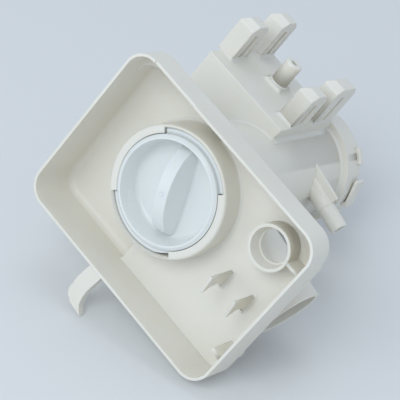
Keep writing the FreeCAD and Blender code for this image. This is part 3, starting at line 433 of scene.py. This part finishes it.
def plastic(name, main, second, roughness, variation, grain_size, specks, bump_strength, ior, specular):
    """A moulded plastic: the two groups feed colour, roughness and bump of one shader."""
    material = bpy.data.materials.new(name)
    material.use_nodes = True
    nodes, link = material.node_tree.nodes, material.node_tree.links.new
    shader = nodes["Principled BSDF"]
    place = nodes.new("ShaderNodeTexCoord")
    mapping = nodes.new("ShaderNodeMapping")
    link(place.outputs["Object"], mapping.inputs["Vector"])
    grain = nodes.new("ShaderNodeGroup")
    grain.node_tree = bpy.data.node_groups["moulding_grain"]
    grain.inputs["Roughness"].default_value = roughness
    grain.inputs["Variation"].default_value = variation
    grain.inputs["Grain size"].default_value = grain_size
    tones = nodes.new("ShaderNodeGroup")
    tones.node_tree = bpy.data.node_groups["flow_tones"]
    tones.inputs["Main"].default_value = main
    tones.inputs["Second"].default_value = second
    tones.inputs["Specks"].default_value = specks
    bump = nodes.new("ShaderNodeBump")
    bump.inputs["Strength"].default_value = bump_strength
    bump.inputs["Distance"].default_value = 0.00012
    for group in (grain, tones):
        link(mapping.outputs["Vector"], group.inputs["Vector"])
    link(grain.outputs["Height"], bump.inputs["Height"])
    link(bump.outputs["Normal"], shader.inputs["Normal"])
    link(grain.outputs["Roughness"], shader.inputs["Roughness"])
    link(tones.outputs["Color"], shader.inputs["Base Color"])
    shader.inputs["Subsurface Weight"].default_value = 0.12
    shader.inputs["Subsurface Radius"].default_value = (1.0, 0.75, 0.45)
    shader.inputs["Subsurface Scale"].default_value = 0.003
    shader.inputs["IOR"].default_value = ior
    shader.inputs["Specular IOR Level"].default_value = specular
    return material


def finish(piece, material, body):
    """Give a piece its finish and its body."""
    piece.data.materials.clear()
    piece.data.materials.append(bpy.data.materials[material])
    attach(piece, body)


# Operators

class HOUSING_OT_finishes(bpy.types.Operator):
    """Make the plastics and the rubber, and put them on the CAD pieces"""

    bl_idname = "housing.finishes"
    bl_label = "Finishes"

    def execute(self, context):
        look = context.scene.housing_finish
        moulding_grain()
        flow_tones()
        plastic("cream_plastic", look.housing_colour, look.housing_shade, look.housing_roughness,
                variation=0.12, grain_size=2400.0, specks=0.05, bump_strength=0.25, ior=1.49, specular=0.45)
        plastic("cap_gloss", look.cap_colour, look.cap_shade, look.cap_roughness,
                variation=0.08, grain_size=3200.0, specks=0.02, bump_strength=0.12, ior=1.5, specular=0.5)
        plastic("strainer_satin", look.strainer_colour, look.cap_shade, roughness=0.36,
                variation=0.1, grain_size=2400.0, specks=0.03, bump_strength=0.2, ior=1.49, specular=0.45)
        plastic("soft_rubber", look.rubber_colour, look.rubber_colour, roughness=0.6,
                variation=0.15, grain_size=1500.0, specks=0.0, bump_strength=0.35, ior=1.5, specular=0.4)
        bodies = {"housing": "cream_plastic", "strainer": "strainer_satin", "cap": "cap_gloss"}
        groups = frame["record"]["behaviour"]["bodies"]
        owners = {node: body for body, nodes in groups.items() for node in nodes}
        for node, piece in frame["nodes"].items():
            kind = "soft_rubber" if node.endswith("_seal") else bodies[owners[node]]
            piece.data.materials.clear()
            piece.data.materials.append(bpy.data.materials[kind])
        return {"FINISHED"}


class HOUSING_OT_mouldings(bpy.types.Operator):
    """Round the edges of the housing's mouldings"""

    bl_idname = "housing.mouldings"
    bl_label = "Rounded mouldings"

    def execute(self, context):
        sizes = context.scene.housing_sizes
        rim, blocks, fine = sizes.rim_round, sizes.block_round, sizes.fine_round
        widths = {
            "front_tray": rim, "air_chamber": blocks, "drain_sleeve": sizes.sleeve_round, "hose_hook": rim,
            "inlet_pipe": rim, "side_spigot": blocks, "pump_flange": rim, "sump_barrel": fine,
            "front_left_prong": blocks, "front_right_prong": blocks, "rear_left_prong": blocks,
            "rear_right_prong": blocks, "nipple_pad": sizes.pad_round, "hose_nipple": rim, "sleeve_rib": rim,
            "inner_hose_finger": sizes.finger_round, "outer_hose_finger": sizes.finger_round,
            "corner_rib": rim, "spigot_web": fine, "left_pump_tab": rim, "right_pump_tab": rim,
            "lower_pump_tab": rim, "latch_tongue": rim, "upper_turn_stop": fine, "lower_turn_stop": fine,
        }
        for node, width in widths.items():
            piece = softened(node, f"{node}_moulding", width)
            finish(piece, "cream_plastic", "housing")
        for node in ("strainer_head", "strainer_end", "strainer_basket"):
            piece = softened(node, f"{node}_moulding", fine)
            finish(piece, "strainer_satin", "strainer")
        return {"FINISHED"}


class HOUSING_OT_collar(bpy.types.Operator):
    """Make the collar and its two bayonet lips as one moulding"""

    bl_idname = "housing.collar"
    bl_label = "Collar"

    def execute(self, context):
        low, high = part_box("filter_collar")
        back, front, outer = -high[1] / MM, -low[1] / MM, high[0] / MM
        lip_low, lip_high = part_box("right_bayonet_lip")
        bore, lip_back = lip_high[0] / MM, -lip_high[1] / MM
        # The lip spans 45 degrees up and down from the right, so its box's left side is at its ends.
        lip = lip_low[0] / MM / math.cos(math.pi / 4)
        seat, barrel = -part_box("upper_turn_stop")[1][1] / MM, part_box("sump_barrel")[1][0] / MM
        seat_wall = 2
        corners = [(outer, back), (outer, front), (lip, front), (lip, lip_back), (bore, lip_back),
                   (bore, seat), (barrel, seat), (barrel, seat - seat_wall), (bore, seat - seat_wall),
                   (bore, back)]
        lipped = rounded_corners(corners, [0.3, 1.5, 0.5, 0.3, 0.3, 0.3, 0.1, 0.1, 0.3, 0.3])
        ring = self.ring(lipped, bore, seat, front)
        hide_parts("filter_collar", "left_bayonet_lip", "right_bayonet_lip")
        finish(ring, "cream_plastic", "housing")
        return {"FINISHED"}

    def ring(self, lipped, bore, seat, front):
        """The collar as a surface of two parameters, the place on its section and the angle.

        The lips lie within 45 degrees of the right and of the left. Between them each point of the lip's
        section is drawn back to the bore, with the bore's front edge rounded. Its share falls from one
        to nothing over the last step of each lip, 0.3 degrees, along a smooth curve.
        """
        radius, forward = lipped[:, 0], lipped[:, 1]
        edge, lip_half, step, above_seat = 0.5, 45.0, 0.3, 1
        round_in = np.sqrt(np.clip(edge ** 2 - np.clip(forward - (front - edge), 0, edge) ** 2, 0, None))
        on_lip = (radius < bore - 1e-6) & (forward > seat + above_seat)
        plain = np.where(on_lip, bore + edge - round_in, radius)
        ends = np.arange(lip_half, 360, 90)[:, None] + np.linspace(-3 * step, 3 * step, 19)
        angles = np.unique(np.concatenate([np.linspace(0, 360, 240, endpoint=False), ends.ravel()]))
        away = np.minimum(np.abs((angles + 180) % 360 - 180), np.abs((angles % 360) - 180))
        share = np.clip((lip_half - away) / step, 0, 1)
        share = (share ** 2 * (3 - 2 * share))[:, None]
        radii = plain + share * (radius - plain)
        turn = np.radians(angles)[:, None]
        points = np.stack([radii * np.cos(turn), np.broadcast_to(-forward, radii.shape),
                           radii * np.sin(turn)], axis=-1) * MM
        return grid_piece("collar_moulding", points, closed_across=True, closed_along=True)


class HOUSING_OT_roots(bpy.types.Operator):
    """Add the hollow fillets where forms stand on the tray, the chamber and the barrel"""

    bl_idname = "housing.roots"
    bl_label = "Root fillets"

    def execute(self, context):
        sizes = context.scene.housing_sizes
        for piece in self.on_chamber(sizes) + self.in_tray(sizes) + self.on_barrel(sizes):
            finish(piece, "cream_plastic", "housing")
        return {"FINISHED"}

    def on_chamber(self, sizes):
        """Fillets at the foot of the prongs, the nipple and its pad.

        A prong's fillet is no wider than the room left to the chamber's side.
        """
        (left_side, _, _), (right_side, _, top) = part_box("air_chamber")
        size, prong_corner, pad_corner, least_share = sizes.root_round, 0.0009, 0.0012, 0.02
        pieces = []
        for prong in ("front_left_prong", "front_right_prong", "rear_left_prong", "rear_right_prong"):
            low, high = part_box(prong)
            outline, outward = box_outline((low[0], low[1]), (high[0], high[1]), prong_corner, RIGHT, BACK)
            room = np.minimum(outline[:, 0] - left_side, right_side - outline[:, 0]) / size
            pieces.append(root_fillet(f"{prong}_root", outline, outward, (0, 0, top), UP, size,
                                      reach=np.clip(room, least_share, 1)))
        low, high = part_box("nipple_pad")
        outline, outward = box_outline((low[0], low[1]), (high[0], high[1]), pad_corner, RIGHT, BACK)
        pieces.append(root_fillet("nipple_pad_root", outline, outward, (0, 0, top), UP, size))
        low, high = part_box("hose_nipple")
        middle = ((low[0] + high[0]) / 2, (low[1] + high[1]) / 2, 0)
        outline, outward = ring_outline(middle, (high[0] - low[0]) / 2, RIGHT, BACK, steps=48)
        pieces.append(root_fillet("nipple_root", outline, outward, (0, 0, low[2]), UP, sizes.nipple_root))
        return pieces

    def in_tray(self, sizes):
        """Fillets at the foot of the collar, the sleeve, the fingers and the corner rib.

        The collar stands on the basin's floor on its right and in the deeper well on its left. The
        well's edge crosses it a little past the top and the bottom, at the crossing's angle. Of a finger
        and of the rib only the upper part, their foot, stands on the floor.
        """
        well_depth, finger_foot, rib_foot, sheet_corner = 0.007, 0.0114, 0.0026, 0.0003
        crossing, gap = 91.1, 0.1
        floor = (0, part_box("inner_hose_finger")[1][1], 0)
        well = (0, floor[1] + well_depth, 0)
        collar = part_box("filter_collar")[1][0]
        pieces = []
        for name, base, start, end in (("floor", floor, -crossing, crossing),
                                       ("well", well, crossing + gap, 360 - crossing - gap)):
            outline, outward = ring_outline((0, 0, 0), collar, RIGHT, UP, start, end)
            pieces.append(root_fillet(f"collar_{name}_root", outline, outward, base, FORWARD,
                                      sizes.collar_root, closed=False))
        low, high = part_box("drain_sleeve")
        middle = ((low[0] + high[0]) / 2, 0, (low[2] + high[2]) / 2)
        outline, outward = ring_outline(middle, (high[0] - low[0]) / 2, RIGHT, UP)
        pieces.append(root_fillet("sleeve_root", outline, outward, floor, FORWARD, sizes.collar_root))
        feet = {"inner_hose_finger": finger_foot, "outer_hose_finger": finger_foot, "corner_rib": rib_foot}
        for node, foot in feet.items():
            low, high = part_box(node)
            outline, outward = box_outline((low[0], high[2] - foot), (high[0], high[2]), sheet_corner,
                                           RIGHT, UP)
            pieces.append(root_fillet(f"{node}_root", outline, outward, floor, FORWARD, sizes.finger_root))
        return pieces

    def on_barrel(self, sizes):
        """Fillets between the barrel and the chamber, on all its sides, and at the flange's shoulder."""
        low, high = (np.array(corner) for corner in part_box("air_chamber"))
        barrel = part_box("sump_barrel")[1][0]
        start = math.degrees(math.acos(high[0] / barrel))
        end = 180 + math.degrees(math.asin(-low[2] / barrel))
        size, sunk, steps = sizes.collar_root, 0.0001, 13
        pieces = []
        for name, base, way in (("front", low[1], FORWARD), ("rear", high[1], BACK)):
            outline, outward = ring_outline((0, 0, 0), barrel, RIGHT, UP, start, end)
            pieces.append(root_fillet(f"chamber_{name}_root", outline, outward, (0, base, 0), way, size,
                                      closed=False))
        run = np.linspace(low[1], high[1], steps)[:, None] * BACK
        ledge = np.array([high[0], 0, math.sqrt(barrel ** 2 - high[0] ** 2) - sunk])
        pieces.append(root_fillet("chamber_right_root", run + ledge, np.tile(RIGHT, (steps, 1)), (0, 0, 0),
                                  UP, sizes.end_root, closed=False))
        ledge = np.array([-math.sqrt(barrel ** 2 - low[2] ** 2), 0, low[2]])
        pieces.append(root_fillet("chamber_under_root", run + ledge, np.tile(-RIGHT, (steps, 1)), (0, 0, 0),
                                  -UP, sizes.under_root, closed=False, bury=8 * sunk))
        outline, outward = ring_outline((0, 0, 0), barrel, RIGHT, UP)
        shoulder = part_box("pump_flange")[0][1]
        pieces.append(root_fillet("flange_root", outline, outward, (0, shoulder, 0), FORWARD, size))
        return pieces


class HOUSING_OT_cap(bpy.types.Operator):
    """Make the cap's bowl with its plug and lugs, and the arched grip with its gate mark"""

    bl_idname = "housing.cap"
    bl_label = "Filter cap"

    def execute(self, context):
        sizes = context.scene.housing_sizes
        low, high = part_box("filter_cap")
        crest, plug_back, ring = -low[1] / MM, -high[1] / MM, high[0] / MM
        grip_low, grip_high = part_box("grip_bar")
        floor, top = -grip_high[1] / MM, -grip_low[1] / MM
        step = -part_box("upper_stop_rib")[1][1] / MM
        collar = -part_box("filter_collar")[0][1] / MM
        mouth, foot = sizes.bowl_mouth / MM, sizes.bowl_foot / MM
        crest_width, bowl_wall, above_collar = 0.9, 2, 0.1
        plug_step, plug_wall, groove_half, groove_depth = 2.8, 5.1, 1.55, 2.65
        plug = ring - plug_step
        seal = -(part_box("cap_seal")[0][1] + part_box("cap_seal")[1][1]) / 2 / MM
        front, back, bottom = seal + groove_half, seal - groove_half, plug - groove_depth
        corners = [
            (0, floor), (foot, floor), (mouth, crest), (mouth + crest_width, crest),
            (ring, collar + above_collar), (ring, step), (plug, step), (plug, front), (bottom, front),
            (bottom, back), (plug, back), (plug, plug_back), (plug - plug_wall, plug_back),
            (plug - plug_wall, floor - bowl_wall), (0, floor - bowl_wall),
        ]
        radii = [0, sizes.bowl_fillet / MM, 0.4, 0.5, 0.7, 0.3, 0.3, 0.2, 0.2, 0.2, 0.2, 0.5, 0.4, 0.8, 0]
        shell = turned_piece("cap_shell", rounded_corners(corners, radii, 8))
        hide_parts("filter_cap")
        grip = self.grip(sizes, floor, top)
        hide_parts("grip_bar")
        pieces = [shell, grip, self.gate_mark(sizes, floor, top)]
        for node, start, thinned in (("upper_cap_lug", 45.25, False), ("lower_cap_lug", 225.25, True)):
            lug = self.lug(node, start, ring, thinned)
            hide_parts(node)
            pieces.append(lug)
        for piece in pieces:
            finish(piece, "cap_gloss", "cap")
        return {"FINISHED"}

    def lug(self, node, start, inner, thinned):
        """A bayonet lug: a rounded section carried along its arc of 89.5 degrees.

        The lower lug thins towards its end: over the last fifth of its arc the outer radius falls in a
        straight line, which leaves a small wedge of space to the collar.
        """
        low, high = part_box(node)
        back, front = -high[1] / MM, -low[1] / MM
        outer, sunk, sweep, wedge, taper = max(abs(low[2]), abs(high[2])) / MM, 0.2, 89.5, 1.5, 0.2
        corners = [(inner - sunk, back), (outer, back), (outer, front), (inner - sunk, front)]
        section = rounded_corners(corners, [0, 0.3, 0.5, 0])
        place = np.linspace(0, 1, 73)[:, None]
        cut = wedge * np.clip((place - (1 - taper)) / taper, 0, 1) if thinned else 0 * place
        share = np.clip((section[None, :, 0] - inner) / (outer - inner), 0, 1)
        radius = section[None, :, 0] - cut * share
        turn = np.radians(start + sweep * place)
        points = np.stack([radius * np.cos(turn), np.broadcast_to(-section[None, :, 1], radius.shape),
                           radius * np.sin(turn)], axis=-1) * MM
        return grid_piece(f"{node}_moulding", points, closed_across=True, ends=True)

    def crown(self, sizes, along, height):
        """The height of the grip's top above the bowl's floor, along the grip.

        It is close to an ellipse: its share of the full height, to the power 1.9, is one less the share
        of the half span to the power 2.1.
        """
        along_power, height_power = 2.1, 1.9
        share = np.clip(np.abs(along) / (sizes.grip_span / MM / 2), 0, 1)
        return height * np.clip(1 - share ** along_power, 0, None) ** (1 / height_power)

    def turned_to(self, sizes, floor, along, across, rise):
        """Points of the grip's own directions, turned to its place in the bowl."""
        direction = sizes.grip_direction
        x = along * math.cos(direction) - across * math.sin(direction)
        z = along * math.sin(direction) + across * math.cos(direction)
        return np.stack(np.broadcast_arrays(x, -(floor + rise), z), axis=-1) * MM

    def grip(self, sizes, floor, top):
        """The arched grip as a surface of two parameters, the place along it and across it.

        Along the grip the top follows the crown. Across it the surface sags a little over the flat
        top, falls round an edge, down a flank that leans out, and ends in a small hollow fillet. The
        lean and the fillet grow with the crown's share of the full height, to the power 0.8, so the
        grip's foot is widest in the middle.
        """
        half_span, half = sizes.grip_span / MM / 2, sizes.grip_width / MM / 2
        lean, hollow = sizes.grip_draft / MM, sizes.grip_fillet / MM
        sag, edge, under, sunk, widening, foot_share = 0.12, 0.6, 0.25, 0.6, 0.8, 0.6
        along = half_span * np.sin(np.linspace(-math.pi / 2, math.pi / 2, 161))[:, None]
        crown = self.crown(sizes, along, top - floor)
        every, share = np.ones_like(crown), (crown / (top - floor)) ** widening
        flat, step = np.linspace(0, half, 6)[:-1], np.linspace(0, 1, 7)[1:-1]
        turn = np.linspace(0, math.pi / 2, 8)
        rest = np.clip(crown - sag - edge, 0, None)
        foot = np.minimum(hollow, foot_share * rest)
        out = np.concatenate([
            every * flat, every * (half + edge * np.sin(turn)), half + edge + share * lean * step,
            half + edge + share * (lean + hollow * (1 - np.cos(turn)))], axis=1)
        fall = np.concatenate([
            every * sag * (flat / half) ** 2, every * (sag + edge * (1 - np.cos(turn))),
            sag + edge + (rest - foot) * step, sag + edge + rest - foot + foot * np.sin(turn)], axis=1)
        rise = crown - np.minimum(fall, crown + under)
        rise[:, -1] = -under
        across = np.concatenate([-out[:, ::-1], out[:, 1:]], axis=1)
        raised = np.concatenate([rise[:, ::-1], rise[:, 1:]], axis=1)
        across = np.concatenate([across, across[:, ::-1]], axis=1)
        height = np.concatenate([raised, np.full_like(raised, -sunk)], axis=1)
        points = self.turned_to(sizes, floor, along, across, height)
        return grid_piece("cap_grip", points, closed_across=True, ends=True)

    def gate_mark(self, sizes, floor, top):
        """The gate's mark on the grip: a flat disc in a raised ring, turned about one place.

        The section's points are radii and heights. Each point's height is the crown's at its own place
        plus the section's.
        """
        section = np.array([(0, 0.02), (0.7, 0.02), (0.85, 0.16), (1.1, 0.28), (1.35, 0.16), (1.5, -0.1),
                            (1.5, -0.4), (0, -0.4)])
        turn = np.linspace(0, 2 * math.pi, 32, endpoint=False)[:, None]
        along = sizes.gate_place / MM + section[:, 0] * np.cos(turn)
        across = section[:, 0] * np.sin(turn)
        rise = self.crown(sizes, along, top - floor) + section[:, 1]
        points = self.turned_to(sizes, floor, along, across, rise)
        return grid_piece("cap_gate_mark", points, closed_along=True)


class HOUSING_OT_stage(bpy.types.Operator):
    """Set up the pale floor that the housing lies on, the soft lamps and the camera"""

    bl_idname = "housing.stage"
    bl_label = "Stage"

    def execute(self, context):
        # The picture's right, up and back directions, as rows.
        turn = np.array([[0.6241, 0.5200, 0.5833], [-0.7304, 0.1231, 0.6718], [0.2776, -0.8453, 0.4566]])
        self.floor()
        self.air(context.scene)
        self.lamp("key_lamp", turn, (-0.5, 0.5, 1.7), power=11.3, size=0.9)
        self.lamp("top_lamp", turn, (0.35, 1.6, 0.6), power=2.6, size=0.9)
        self.lamp("left_lamp", turn, (-1.5, 0.3, 0.9), power=2.4, size=0.9)
        self.lamp("low_lamp", turn, (0.1, -1.1, 1.4), power=0.9, size=1.2)
        self.camera(context.scene, turn)
        return {"FINISHED"}

    def floor(self):
        """A wide square floor that the hook's tip touches.

        Its points are the tip plus a reach along each of the two directions that lie in the floor.
        """
        upward = np.array([-0.339, -0.290, 0.895])
        upward /= np.linalg.norm(upward)
        tip, half_width = np.array([9.5, -151.0, -84.9]) * MM, 6
        side = np.cross(BACK, upward)
        side /= np.linalg.norm(side)
        ahead = np.cross(upward, side)
        reach = np.linspace(-half_width, half_width, 25)
        floor = grid_piece("studio_floor", tip + reach[:, None, None] * side + reach[None, :, None] * ahead)
        if floor.data.polygons[0].normal @ Vector(upward) < 0:
            floor.data.flip_normals()
        floor.data.materials.append(self.floor_finish())

    def air(self, scene):
        """A pale blue surrounding light."""
        world = bpy.data.worlds.new("studio_air")
        world.use_nodes = True
        background = world.node_tree.nodes["Background"]
        background.inputs["Color"].default_value = (0.79, 0.88, 1.0, 1)
        background.inputs["Strength"].default_value = 0.69
        scene.world = world

    def camera(self, scene, turn):
        """A long lens almost a metre from the tray, with the picture's three directions."""
        lens = bpy.data.cameras.new("camera")
        lens.lens = 166.15
        lens.sensor_width = 36.0
        lens.clip_start = 0.01
        place = (0.2725, -0.9312, 0.4337)
        camera = bpy.data.objects.new("camera", lens)
        scene.collection.objects.link(camera)
        camera.matrix_world = self.placing(*turn, place)
        scene.camera = camera
        scene.view_settings.view_transform = "Standard"

    def placing(self, right, up, back, place):
        """A matrix whose columns are three directions and a place."""
        rows = np.stack([right, up, back, place], axis=1).tolist()
        return Matrix([*rows, [0, 0, 0, 1]])

    def floor_finish(self):
        """A matt pale floor that is clear when it is seen from below."""
        material = bpy.data.materials.new("pale_floor")
        material.use_nodes = True
        nodes, link = material.node_tree.nodes, material.node_tree.links.new
        shader = nodes["Principled BSDF"]
        shader.inputs["Base Color"].default_value = (0.76, 0.765, 0.76, 1)
        shader.inputs["Roughness"].default_value = 0.8
        shader.inputs["Specular IOR Level"].default_value = 0.1
        clear = nodes.new("ShaderNodeBsdfTransparent")
        mix = nodes.new("ShaderNodeMixShader")
        side = nodes.new("ShaderNodeNewGeometry")
        link(side.outputs["Backfacing"], mix.inputs["Fac"])
        link(shader.outputs["BSDF"], mix.inputs[1])
        link(clear.outputs["BSDF"], mix.inputs[2])
        link(mix.outputs["Shader"], nodes["Material Output"].inputs["Surface"])
        return material

    def lamp(self, name, turn, offset, power, size):
        """A square soft lamp, placed right, up and back from the tray in the picture's directions.

        It faces the tray's middle: its back direction runs from the middle to the lamp.
        """
        middle = np.array([0.012, -0.12, -0.003])
        place = middle + np.array(offset) @ turn
        light = bpy.data.lights.new(name, "AREA")
        light.color = (0.9, 0.96, 1.0)
        light.energy = power
        light.size = size
        lamp = bpy.data.objects.new(name, light)
        bpy.context.scene.collection.objects.link(lamp)
        back = (place - middle) / np.linalg.norm(place - middle)
        right = np.cross(turn[1], back)
        right /= np.linalg.norm(right)
        lamp.matrix_world = self.placing(right, np.cross(back, right), back, place)


class HOUSING_PT_panel(bpy.types.Panel):
    """Lists the housing's sizes, finishes and steps"""

    bl_idname = "HOUSING_PT_panel"
    bl_label = "Pump filter housing"
    bl_space_type = "VIEW_3D"
    bl_region_type = "UI"
    bl_category = "Housing"

    def draw(self, context):
        for group in (context.scene.housing_sizes, context.scene.housing_finish):
            for name in group.bl_rna.properties.keys():
                if name not in {"rna_type", "name"}:
                    self.layout.prop(group, name)
        for step in STEPS:
            self.layout.operator(step.bl_idname)


STEPS = (HOUSING_OT_finishes, HOUSING_OT_mouldings, HOUSING_OT_collar, HOUSING_OT_roots, HOUSING_OT_cap,
         HOUSING_OT_stage)
CLASSES = (HousingSizes, HousingFinish, *STEPS, HOUSING_PT_panel)


def register():
    for kind in CLASSES:
        bpy.utils.register_class(kind)
    bpy.types.Scene.housing_sizes = bpy.props.PointerProperty(type=HousingSizes)
    bpy.types.Scene.housing_finish = bpy.props.PointerProperty(type=HousingFinish)


def unregister():
    del bpy.types.Scene.housing_finish
    del bpy.types.Scene.housing_sizes
    for kind in reversed(CLASSES):
        bpy.utils.unregister_class(kind)


def main():
    register()
    bpy.ops.housing.finishes()
    bpy.ops.housing.mouldings()
    bpy.ops.housing.collar()
    bpy.ops.housing.roots()
    bpy.ops.housing.cap()
    bpy.ops.housing.stage()
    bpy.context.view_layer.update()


if __name__ == "__main__":
    main()
